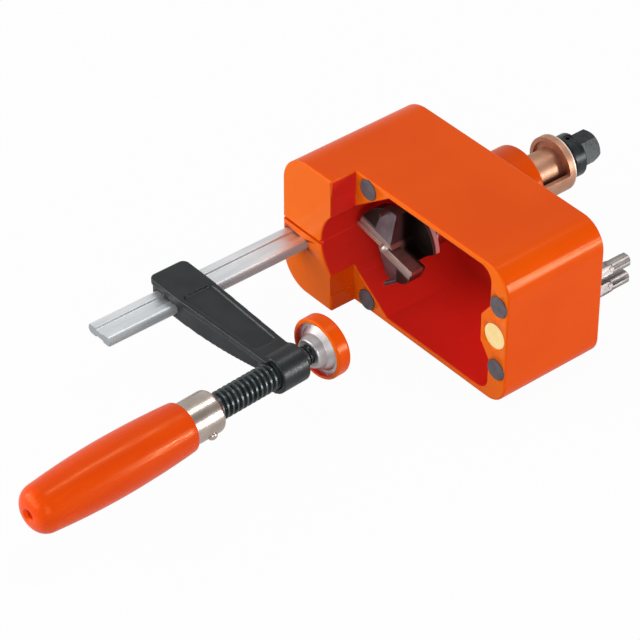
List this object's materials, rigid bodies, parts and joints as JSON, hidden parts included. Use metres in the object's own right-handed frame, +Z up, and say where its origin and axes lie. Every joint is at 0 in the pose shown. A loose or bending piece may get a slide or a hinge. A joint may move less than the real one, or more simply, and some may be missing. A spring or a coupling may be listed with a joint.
{
  "type": "drilling template",
  "caption": "Clamp-on drilling template for hinge cups: an open housing guides a cup boring bit on a sliding spindle, and a bar clamp with a wooden handle holds the board.",
  "frame": {"origin": "where the drill axis meets the housing's front work face", "axes": "+X along the housing from the clamp bar to the spare bits, +Y along the drill axis away from the work towards the hexagon drive, +Z up"},
  "size_m": [0.126, 0.3199, 0.0666],
  "materials": {
    "orange_plastic": "smooth glossy moulded orange",
    "grey_rubber": "matt grey",
    "cream_plastic": "satin cream",
    "zinc_steel": "bright drawn, zinc plated",
    "bare_steel": "ground",
    "black_steel": "blackened, lightly oiled",
    "tool_steel": "dark hardened",
    "bronze": "turned bearing bronze",
    "black_iron": "black coated casting",
    "nickel": "bright nickel plated",
    "lacquered_wood": "orange lacquered, turned"
  },
  "bodies": {
    "frame": {"housing": "orange_plastic", "grip_pads": "grey_rubber", "sighting_disc": "cream_plastic", "clamp_bar": "zinc_steel", "bar_pins": "bare_steel"},
    "sleeve": {"feed_sleeve": "bronze", "retaining_ring": "black_steel"},
    "spindle": {"spindle": "bare_steel", "front_washer": "bare_steel", "rear_washer": "bare_steel", "hex_drive": "black_steel", "drive_set_screw": "black_steel", "bit_set_screw": "black_steel", "bit_body": "tool_steel", "bit_cutters": "bare_steel", "centre_point": "bare_steel"},
    "arm": {"clamp_arm": "black_iron"},
    "screw_carrier": {"neck_ring": "bare_steel"},
    "screw": {"clamp_screw": "black_steel", "ferrule": "nickel", "ferrule_pin": "nickel", "handle": "lacquered_wood"},
    "pad": {"pressure_plate": "zinc_steel", "pad_cap": "orange_plastic"},
    "upper_spare": {"spare_bit_upper": "bare_steel"},
    "lower_spare": {"spare_bit_lower": "bare_steel"}
  },
  "joints": [
    {"name": "sleeve_feed", "type": "slide", "parent": "frame", "child": "sleeve", "axis": [0, -1, 0], "range_m": [0, 0.017]},
    {"name": "spindle_spin", "type": "hinge", "parent": "sleeve", "child": "spindle", "pos_m": [0, 0, 0], "axis": [0, 1, 0], "continuous": true},
    {"name": "arm_slide", "type": "slide", "parent": "frame", "child": "arm", "axis": [0, 1, 0], "range_m": [-0.028, 0.0115]},
    {"name": "screw_advance", "type": "slide", "parent": "arm", "child": "screw_carrier", "axis": [-0.0523, 0.9986, 0], "range_m": [-0.001, 0.018]},
    {"name": "screw_turn", "type": "hinge", "parent": "screw_carrier", "child": "screw", "pos_m": [0.0264, -0.0693, -0.0079], "axis": [-0.0523, 0.9986, 0], "range_deg": [-150, 2610]},
    {"name": "pad_tilt", "type": "hinge", "parent": "screw_carrier", "child": "pad", "pos_m": [0.02561, -0.05427, -0.0079], "axis": [0, 0, 1], "range_deg": [-6, 6]},
    {"name": "upper_spare_pull", "type": "slide", "parent": "frame", "child": "upper_spare", "axis": [0, 1, 0], "range_m": [0, 0.03]},
    {"name": "lower_spare_pull", "type": "slide", "parent": "frame", "child": "lower_spare", "axis": [0, 1, 0], "range_m": [0, 0.03]}
  ],
  "couplings": [
    {"joint": "screw_turn", "follows": "screw_advance", "rad_per_m": 2513.3}
  ]
}
